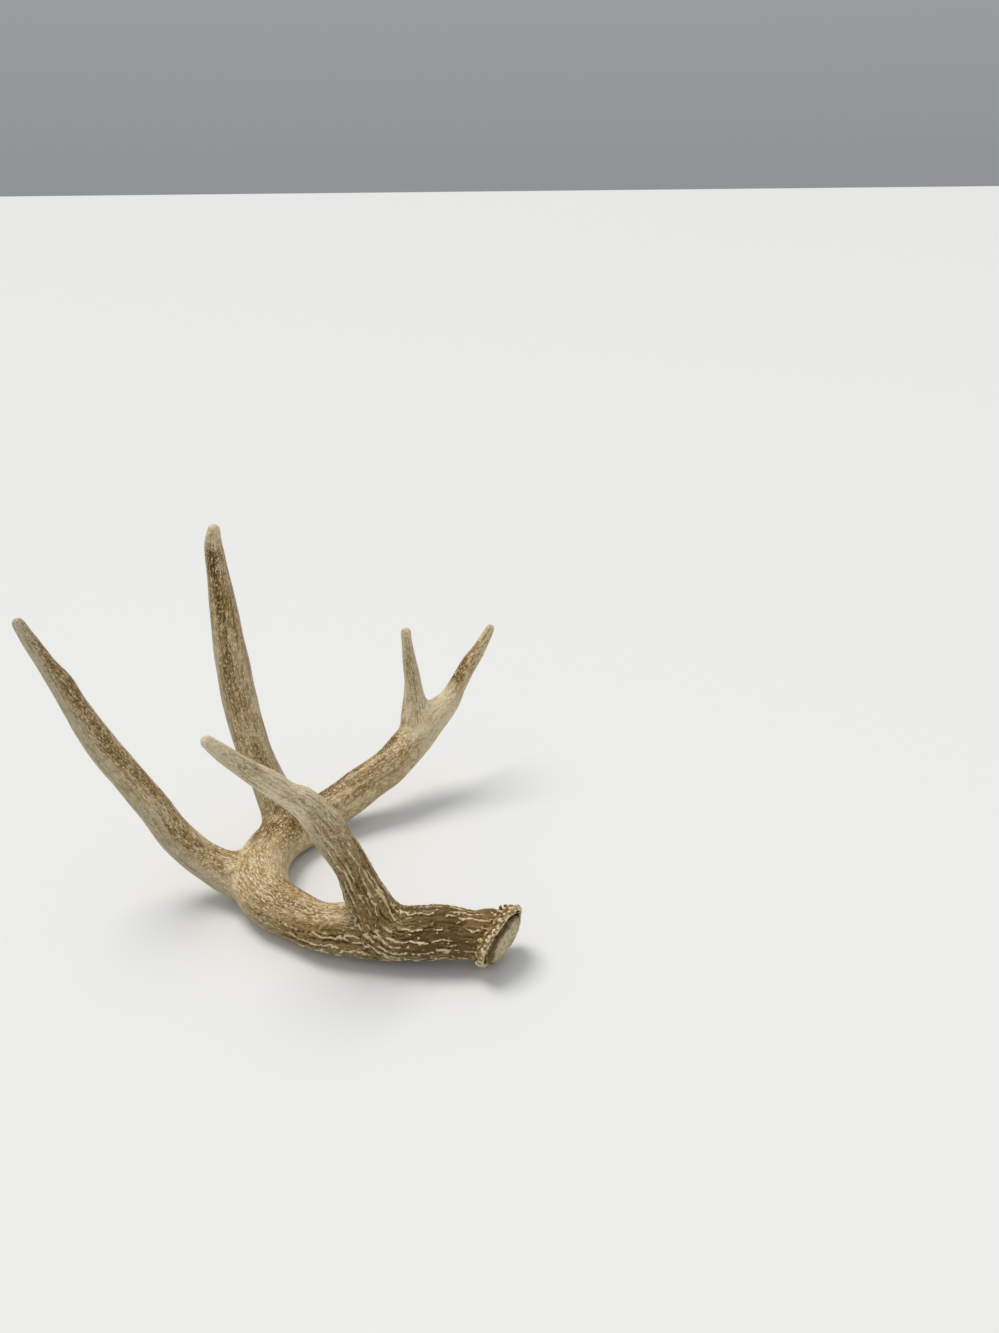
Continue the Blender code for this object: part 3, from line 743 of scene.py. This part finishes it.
stainAndPaintedLight = {
    # how brown each limb is along its length, in mm from its root
    "brown": [
        # on the beam, the brown from about 114 to 123 mm is partly painted shade on the inside of
        # the bend
        [(0, 0.50), (60, 0.50), (100, 0.40), (114, 0.50), (123, 0.50), (132, 0.24), (144, 0.14),
         (162, 0.20), (178, 0.36), (190, 0.44), (230, 0.64), (244, 0.68), (264, 0.42),
         (280, 0.42), (302, 0.10), (335, 0.16), (350, 0.52), (366, 0.42), (384, 0.24), (394, 0)],
        [(0, 0.46), (40, 0.22), (64, 0.30), (84, 0.20), (104, 0.18), (122, 0.22), (136, 0.06)],
        [(0, 0.22), (30, 0.44), (60, 0.40), (90, 0.30), (120, 0.38), (150, 0.50), (180, 0.40),
         (205, 0.18)],
        [(0, 0.26), (40, 0.28), (80, 0.24), (110, 0.40), (140, 0.48), (174, 0.44), (186, 0.28),
         (193, 0)],
        [(0, 0.10), (25, 0.14), (42, 0.26), (60, 0.22), (72, 0.12), (82, 0)]],
    # the side that the brown band runs along, along each limb: middle and half width in degrees
    "sideMiddle": [[(0, 95), (190, 95), (240, 108), (400, 115)], [(0, 95)], [(0, 38)],
                   [(0, 70), (100, 88)], [(0, 100)]],
    "sideWidth": [[(0, 110), (190, 90), (240, 55), (300, 70)], [(0, 85)], [(0, 42)], [(0, 60)],
                  [(0, 75)]],
    # rubbed pale; on the brow tine's middle, about 74 to 108 mm, partly painted highlight
    "ivory": [
        [(0, 0), (290, 0), (306, 0.7), (328, 0.7), (344, 0.2), (372, 0.15), (386, 0.6), (400, 0.9)],
        [(0, 0), (60, 0.05), (74, 0.5), (88, 1.0), (108, 0.9), (120, 0.45), (140, 0.6), (170, 0.9)],
        [(0, 0), (180, 0), (200, 0.35)],
        [(0, 0), (174, 0), (184, 0.6), (192, 1)],
        [(0, 0.3), (24, 0.5), (50, 0.45), (66, 0.5), (76, 0.8), (90, 0.9)]],
    # dark blotches: place and reach in mm, strength
    "spots": [((-33.0, -8.0, 27.0), 9.0, 0.30), ((-6.0, -2.0, 24.0), 6.0, 0.25),
              ((-46.5, 39.0, 176), 4.0, 0.55), ((-47.0, 38.0, 169), 3.0, 0.4),
              ((88.0, 83.0, 75), 4.5, 0.3), ((50.0, 60.0, 56), 4.0, 0.45),
              ((51.5, 66.0, 63), 3.5, 0.40), ((46.0, 53.0, 49), 4.0, 0.35),
              ((-3.0, -94.0, 114), 2.2, 0.6), ((20.0, -92.0, 78), 3.0, 0.3)],
    "pale": [((97.0, -80.0, 26.0), 8.0, 0.8)],   # painted highlight on the smooth, worn top edge by the burr: place and reach in mm, strength
    "longCell": (3.6, 26.0), "broadCell": (9.0, 34.0),   # mm across and along
    "amberEnd": (0, 14), "amberFrom": 22, "rustRange": (72, 26),     # mm along the beam
    # worn grey
    "grey": [
        [(0, 0), (100, 0.05), (400, 0.05)],
        [(0, 0.1), (40, 0.35), (66, 0.3), (85, 0.0), (108, 0.0), (125, 0.35), (150, 0.3)],
        [(0, 0.05), (130, 0.1), (170, 0.45), (210, 0.8)],
        [(0, 0.1), (180, 0.1)], [(0, 0.25)]],
}
band = sum(w * np.exp(-(((np.degrees(angle) - np.interp(s, *zip(*middle)) + 180) % 360 - 180)
                        / np.interp(s, *zip(*half))) ** 2)
           for w, (s, angle, _, _), middle, half
           in zip(weights, coordinates, stainAndPaintedLight["sideMiddle"], stainAndPaintedLight["sideWidth"]))
long = alongNoise(*stainAndPaintedLight["longCell"], 21)
broad = alongNoise(*stainAndPaintedLight["broadCell"], 22)
brown = mixLimbs(stainAndPaintedLight["brown"])
# painted shade: faces turned down, a little left and forwards lose brown and take the grey tone
under = facing @ np.array([-0.30, -0.12, -0.85])         # down, a little left and forwards
under = between(under, -0.05, 0.65)
brown = brown * (0.15 + band) + (0.46 * long + 0.30 * broad) * (0.15 + brown)
for place, reach, strength in stainAndPaintedLight["spots"]:
    brown = brown + strength * spot(place, reach) * (1 + 0.5 * bead)
brown = np.clip(brown, 0, 1) * (1 - 0.6 * under) * (1 - onFace)
ivory = mixLimbs(stainAndPaintedLight["ivory"])
pale = np.zeros(len(places))
for place, reach, strength in stainAndPaintedLight["pale"]:
    pale += strength * spot(place, reach)
pale = np.clip(pale + 0.25 * fine * (pale > 0.1), 0, 1) * (1 - onBurr)
ivory = np.clip(ivory + 0.3 * long * (ivory > 0.02), 0, 1)
wearShadeAndSheen = under * (1 - 0.8 * crested) + mixLimbs(stainAndPaintedLight["grey"]) + 0.2 * broad
# painted sheen: on the second and third tines the sides away from the brown band are painted grey
wearShadeAndSheen = np.clip(wearShadeAndSheen + 0.5 * (weights[2] + weights[3]) * between(1 - band, 0.35, 0.85), 0, 1)
ground = np.clip((crested + 0.28 * ridged) * (1 + 0.45 * broad), 0, 1) * (1 - 0.7 * pale)
grooveStainAndShade = crested * between(-rugged - 0.7 * crest, 0.0, 0.75)
# dark grooves between the ridges, and painted shade in the burr's crevice
grooveStainAndShade = 0.8 * grooveStainAndShade + ridged * between(-fine - 0.2 * bead, 0.12, 0.80) * 0.65 + 1.5 * crevice
# painted shade: the crested undersides, facing down, are darkened
grooveStainAndShade = grooveStainAndShade + 0.7 * bottom * crested
grooveStainAndShade = grooveStainAndShade * (1 - 0.6 * pale) + onRim * between(hollow, 0.02, 0.14)
crestPale = crested * between(crest + 0.15 * fine, 0.40, 0.85) + 0.7 * pearl
crestPale = crestPale + 0.8 * onRim * between(-hollow, 0.05, 0.20)
crestPale = crestPale + ridged * between(fine + 0.15 * bead, 0.20, 0.8) * 0.65
rim = between(burrHeight, *burr["rimZone"]) * onRim
amber = between(stainAndPaintedLight["amberFrom"] - beamLength, *stainAndPaintedLight["amberEnd"]) * beamShare
amber = amber * (0.6 + 0.8 * softNoise(places, 5, 41))
amber = np.clip(amber + crested * between(softNoise(places, 9, 42), 0.1, 0.8) * 0.7, 0, 1)
rust = crested * between(beamLength, *stainAndPaintedLight["rustRange"]) * beamShare
rust = np.clip(rust * (0.85 + 0.5 * softNoise(places, 7, 43)), 0, 1) * (1 - onBurr)
# a darker band round the cast face's edge, wider towards one side of the rim
edge = burrRound + 0.8 * softNoise(places, 3, 44) + burr["darkBand"][2] * atTurn(burrTurnAt, "darkBand")
marks = {
    "brown": brown, "grooveStainAndShade": np.clip(grooveStainAndShade, 0, 1), "crest": np.clip(crestPale, 0, 1),
    "ground": ground * (1 - onFace), "wearShadeAndSheen": wearShadeAndSheen * (1 - onFace), "ivory": ivory * (1 - onFace),
    "amber": np.clip(amber * (1 - onFace) * (1 - 0.7 * rim), 0, 1),
    "rust": rust * (1 - 0.9 * pale), "rim": rim * between(burrRound, *burr["rimFrom"]),
    "castFace": onFace, "faceEdge": onFace * between(edge, *burr["darkBandEdge"]),
    "tineShare": between(weights[1:].sum(0), 0.2, 0.8),
}


def layOn(name, values, kind="FLOAT", where="POINT"):    # values that the material reads
    layer = body.data.attributes.new(name, kind, where)
    layer.data.foreach_set("vector" if kind == "FLOAT_VECTOR" else "value",
                           values.astype(np.int32 if kind == "INT" else np.float32).ravel())


limbGap = 300                        # mm, so that no two limbs share a pattern


def grainWay(members):               # across, through and length on the nearest of these limbs
    nearest = weights[members].argmax(0)
    way = np.zeros((len(places), 3))
    for number, member in enumerate(members):
        s, angle, share, _ = coordinates[member]
        rows = readLimbs(limbs[member])
        radius = np.interp(s, rows[4], rows[0][:, 3]) * np.clip(share, 0, 1.6)
        own = np.stack([np.cos(angle) * radius, np.sin(angle) * radius, s + limbGap * member], 1)
        way[nearest == number] = own[nearest == number]
    return way


for name, values in marks.items():
    layOn(name, values)
layOn("beamWay", grainWay([0]), "FLOAT_VECTOR")
layOn("tineWay", grainWay([1, 2, 3, 4]), "FLOAT_VECTOR")
print("stain laid")

# the pieces

# each piece: the node it stands for, its slot, its limb and where it starts along it, in mm
pieces = {
    "beamBase": ("main_beam", "beam_bone", mainBeam, 0),
    "beamBend": ("main_beam", "beam_bone", mainBeam, 118),
    "beamEnd": ("main_beam", "beam_bone", mainBeam, 232),
    "browTineTop": ("brow_tine", "brow_tine_bone", browTine, 40),
    "secondTineTop": ("second_tine", "second_tine_bone", secondTine, 37),
    "thirdTineTop": ("third_tine", "third_tine_bone", thirdTine, 42),
    "fourthTineTop": ("fourth_tine", "fourth_tine_bone", fourthTine, 28),
}
cuts = {
    "depth": 2, "reach": 1.5,        # mm, and as a share of the limb's half width
    "beyond": 25,                    # mm past which the beam's own length decides
    "cornersOfCap": 6,               # a face with more corners than this is a cap
}


def cutPlane(limb, length):          # a place on the middle line, its direction and half width
    rows = middleLine(limb["stations"], 1.0)
    steps = np.linalg.norm(np.diff(rows[:, :3], axis=0), axis=1)
    at = int(np.searchsorted(np.cumsum(steps), length))
    along = rows[at + 1, :3] - rows[at - 1, :3]
    return rows[at, :3], along / np.linalg.norm(along), rows[at, 3]


def cutBody(mesh):                   # a clean edge loop round the limb at every cut
    bm = bmesh.new()
    bm.from_mesh(mesh)
    for _, _, limb, start in pieces.values():
        if not start:
            continue
        place, along, half = cutPlane(limb, start)
        centre, reach = Vector(place) * mm, cuts["reach"] * half * mm
        near = [f for f in bm.faces if (f.verts[0].co - centre).length < reach
                and abs((f.verts[0].co - centre).dot(Vector(along))) < cuts["depth"] * mm]
        parts = set(near)
        for f in near:
            parts.update(f.edges)
            parts.update(f.verts)
        bmesh.ops.bisect_plane(bm, geom=list(parts), dist=1e-7, plane_co=centre,
                               plane_no=Vector(along))
    bm.to_mesh(mesh)
    bm.free()


def sortFaces(mesh):                 # the piece that each face belongs to
    centres = readRows(mesh.polygons, "center").astype(float) / mm
    found, share = limbCoordinates(centres)
    nearest, beamRun = share.argmax(0), found[0][0]
    owner = np.zeros(len(centres), int)
    for number, (_, _, limb, start) in enumerate(pieces.values()):
        if not start:
            continue
        place, along, _ = cutPlane(limb, start)
        ahead = (centres - place) @ along > 0
        if limb is mainBeam:         # all that lies further along it, with the tine roots there
            surely, maybe = beamRun > start + cuts["beyond"], beamRun > start - cuts["beyond"]
            owner[surely | (maybe & ahead)] = number
        else:
            owner[(nearest == limbs.index(limb)) & ahead] = number
    return owner


cutBody(body.data)
layOn("wholeNormal", readNormals(body.data), "FLOAT_VECTOR")
layOn("owner", sortFaces(body.data), "INT", "FACE")
print("cuts made")


def takePiece(number, name):         # the faces of one piece, closed by a cap at each cut
    startClean()
    mesh = body.data.copy()
    piece = bpy.data.objects.new(name, mesh)
    bpy.context.scene.collection.objects.link(piece)
    bpy.context.view_layer.objects.active = piece
    piece.select_set(True)
    owner = readRows(mesh.attributes["owner"].data, "value", 1, np.int32)[:, 0]
    bpy.ops.object.mode_set(mode="EDIT")
    bpy.ops.mesh.select_mode(type="FACE")
    bpy.ops.mesh.select_all(action="DESELECT")
    bpy.ops.object.mode_set(mode="OBJECT")
    mesh.polygons.foreach_set("select", owner != number)
    bpy.ops.object.mode_set(mode="EDIT")
    bpy.ops.mesh.delete(type="FACE")
    bpy.ops.mesh.select_mode(type="EDGE")
    bpy.ops.mesh.select_all(action="DESELECT")
    bpy.ops.mesh.select_non_manifold()
    bpy.ops.mesh.edge_face_add()
    bpy.ops.object.mode_set(mode="OBJECT")
    return piece


made = {}
for number, name in enumerate(pieces):
    made[name] = takePiece(number, name)
    bm = bmesh.new()
    bm.from_mesh(made[name].data)
    print(name, "triangles:", sum(len(f.verts) - 2 for f in bm.faces),
          "open edges:", sum(not e.is_manifold for e in bm.edges))
    bm.free()
bpy.data.objects.remove(body, do_unlink=True)


def setNormals(piece):               # the caps keep flat normals, the skin those of the whole
    mesh = piece.data
    normals = readRows(mesh.attributes["wholeNormal"].data, "vector")
    corners = readRows(mesh.loops, "vertex_index", 1, np.int32)[:, 0]
    mesh.shade_smooth()
    each = normals[corners].copy()
    for face in mesh.polygons:
        if face.loop_total > cuts["cornersOfCap"]:
            each[face.loop_start:face.loop_start + face.loop_total] = face.normal
    mesh.normals_split_custom_set([Vector(n) for n in each])
    mesh.attributes.remove(mesh.attributes["wholeNormal"])
    mesh.attributes.remove(mesh.attributes["owner"])


for piece in made.values():
    setNormals(piece)
print("pieces closed")

# the bone


class Wire:                          # a socket that maths can be written with
    def __init__(self, tree, socket=None):
        self.tree, self.socket = tree, socket

    def add(self, kind, settings=None, inputs=None, out=0):
        node = self.tree.nodes.new(kind)
        for name, value in (settings or {}).items():
            setattr(node, name, value)
        for name, value in (inputs or {}).items():
            if isinstance(value, Wire):
                self.tree.links.new(value.socket, node.inputs[name])
            else:
                node.inputs[name].default_value = value
        return Wire(self.tree, node.outputs[out])

    def reckon(self, operation, first, second):
        return self.add("ShaderNodeMath", {"operation": operation}, {0: first, 1: second})

    def __add__(self, other):
        return self.reckon("ADD", self, other)

    def __sub__(self, other):
        return self.reckon("SUBTRACT", self, other)

    def __rsub__(self, other):
        return self.reckon("SUBTRACT", other, self)

    def __mul__(self, other):
        return self.reckon("MULTIPLY", self, other)

    __radd__, __rmul__ = __add__, __mul__

    def mark(self, name, out="Fac"):             # a mark laid on the skin above
        return self.add("ShaderNodeAttribute", {"attribute_name": name}, out=out)

    def noise(self, size, detail=2.0, rough=0.5):        # size in mm
        return self.add("ShaderNodeTexNoise", None,
                        {"Vector": self, "Scale": 1 / size, "Detail": detail,
                         "Roughness": rough})

    def stretch(self, across, along):            # grain coordinates, drawn out along the grain
        return self.add("ShaderNodeVectorMath", {"operation": "MULTIPLY"},
                        {0: self, 1: (1 / across, 1 / across, 1 / along)})

    def step(self, low, high):       # 0 below low, 1 above high
        return self.add("ShaderNodeMapRange", {"interpolation_type": "SMOOTHSTEP"},
                        {"Value": self, "From Min": low, "From Max": high})

    def blend(self, first, second):  # first where this is 0, second where it is 1
        return self.add("ShaderNodeMix", {"data_type": "RGBA"},
                        {"Factor": self, "A": first, "B": second}, out="Result")


bone = {                             # colours
    "beige": (0.69, 0.55, 0.34, 1), "gold": (0.50, 0.345, 0.155, 1),
    "honey": (0.42, 0.27, 0.105, 1),
    "wash": (0.27, 0.150, 0.032, 1), "fleck": (0.092, 0.050, 0.010, 1),
    # the grey tone is worn bone, painted shade on the undersides and painted sheen at the tines'
    # sides
    "speck": (0.84, 0.70, 0.44, 1), "wearShadeAndSheen": (0.44, 0.40, 0.28, 1),
    # ivory is brightened partly as painted highlight on the brow tine and the third tine's tip
    "ivory": (0.80, 0.70, 0.50, 1), "ground": (0.145, 0.084, 0.017, 1),
    "lit": (0.32, 0.205, 0.066, 1), "dark": (0.080, 0.044, 0.007, 1),
    "crest": (0.82, 0.68, 0.43, 1), "amber": (0.24, 0.130, 0.026, 1),
    "rust": (0.104, 0.057, 0.010, 1),
    "face": (0.62, 0.53, 0.32, 1), "dirt": (0.19, 0.13, 0.055, 1), "rim": (0.36, 0.25, 0.105, 1),
}
boneGrain = {                        # mm across and along the grain, detail, roughness
    "flecks": (1.05, 3.2, 3, 0.7), "dots": (0.7, 1.8, 2, 0.6),
    "lines": (1.1, 15, 2, 0.5), "specks": (0.95, 2.1, 2, 0.6),
}
boneSurface = {
    "rough": 0.36, "gloss": 0.28,
    "bumpStrength": 0.4, "bumpDepth": 0.0004,    # metres
}


def boneMaterial():
    material = bpy.data.materials.new("weatheredBone")
    material.use_nodes = True
    tree = material.node_tree
    shader = tree.nodes["Principled BSDF"]
    start = Wire(tree)
    place = start.add("ShaderNodeTexCoord", out="Object")
    place = place.add("ShaderNodeVectorMath", {"operation": "MULTIPLY"},
                      {0: place, 1: (1 / mm, 1 / mm, 1 / mm)})
    beamWay, tineWay = start.mark("beamWay", "Vector"), start.mark("tineWay", "Vector")
    tineShare = start.mark("tineShare")

    def grained(kind):               # noise drawn out along the grain
        across, along, detail, rough = boneGrain[kind]
        first = beamWay.stretch(across, along).noise(1, detail, rough)
        second = tineWay.stretch(across, along).noise(1, detail, rough)
        return first + (second - first) * tineShare

    brown, grooveStainAndShade, crest, wearShadeAndSheen, ivory, ground, amber, castFace, rim, rust = (
        start.mark(name) for name in ("brown", "grooveStainAndShade", "crest", "wearShadeAndSheen", "ivory", "ground",
                                      "amber", "castFace", "rim", "rust"))
    mottle = place.noise(6, 3)
    grainy = place.noise(0.7, 3, 0.6)
    flecks, dots = grained("flecks"), grained("dots")
    lines, specks = grained("lines"), grained("specks")

    # the smooth bone: mottled, specked, worn grey with painted shade on the undersides and painted
    # sheen at the tines' sides, and rubbed pale with some painted highlight
    tone = mottle.step(0.38, 0.62).blend(bone["beige"], bone["gold"])
    tone = (specks.step(0.50, 0.64) * 0.7).blend(tone, bone["speck"])
    tone = (wearShadeAndSheen * 0.8).blend(tone, bone["wearShadeAndSheen"])
    tone = (ivory * 0.85).blend(tone, bone["ivory"])
    plain = 1 - ivory * 0.45
    # the brown in it: washes, streaks, flecks and dots, with pale specks between
    tone = ((brown + (lines - 0.5) * 1.3).step(0.10, 0.80) * 0.75).blend(tone, bone["honey"])
    rich = plain * (0.45 + brown * 0.7)          # the grain stands out more where it is brown
    tone = ((lines + brown * 0.14).step(0.56, 0.63) * rich * 0.8).blend(tone, bone["wash"])
    tone = ((flecks + brown * 0.24).step(0.58, 0.64) * rich).blend(tone, bone["wash"])
    tone = ((dots + brown * 0.22).step(0.61, 0.67) * rich).blend(tone, bone["fleck"])
    bright = 0.66 + brown * 0.30 - wearShadeAndSheen * 0.5
    tone = (specks.step(0.575, 0.635) * bright).blend(tone, bone["speck"])
    # the rough bone: dark ground and grooves, with painted shade on the undersides and in the
    # burr's crevice, pale crests
    tone = ((ground + (grainy - 0.5) * 0.9).step(0.05, 0.95) * 0.88).blend(
        tone, dots.step(0.42, 0.62).blend(bone["lit"], bone["ground"]))
    tone = ((rust + (dots - 0.5) * 0.8).step(0.1, 0.8) * 0.9).blend(tone, bone["rust"])
    tone = (amber * 0.75).blend(tone, bone["amber"])
    tone = ((grooveStainAndShade + (grainy - 0.5) * 0.6).step(0.1, 0.85) * 0.9).blend(tone, bone["dark"])
    tone = (rim * 0.85).blend(tone, grainy.step(0.40, 0.60).blend(bone["dirt"], bone["rim"]))
    tone = ((crest + (grainy - 0.5) * 0.6).step(0.15, 0.80) * 0.88).blend(tone, bone["crest"])
    # the cast face
    dirt = place.noise(1.5, 3, 0.65).step(0.50, 0.60) * 0.6
    dirt = dirt + place.noise(6, 2).step(0.45, 0.65) * 0.25
    tone = castFace.blend(tone, dirt.blend(bone["face"], bone["dirt"]))
    tone = (start.mark("faceEdge") * 0.85).blend(tone, bone["fleck"])
    tree.links.new(tone.socket, shader.inputs["Base Color"])
    rough = grainy * 0.2 + boneSurface["rough"] + grooveStainAndShade * 0.2 + castFace * 0.2
    tree.links.new(rough.socket, shader.inputs["Roughness"])
    shader.inputs["Specular IOR Level"].default_value = boneSurface["gloss"]
    grit = grainy * 0.6 + lines * 0.5 + flecks * 0.5
    bump = start.add("ShaderNodeBump", None,
                     {"Strength": boneSurface["bumpStrength"],
                      "Distance": boneSurface["bumpDepth"], "Height": grit})
    tree.links.new(bump.socket, shader.inputs["Normal"])
    return material


weatheredBone = boneMaterial()
for name, (node, slotName, _, _) in pieces.items():
    piece = made[name]
    piece.data.materials.clear()
    piece.data.materials.append(weatheredBone)
    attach(piece, "root")
    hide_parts(node)
print("bone painted")
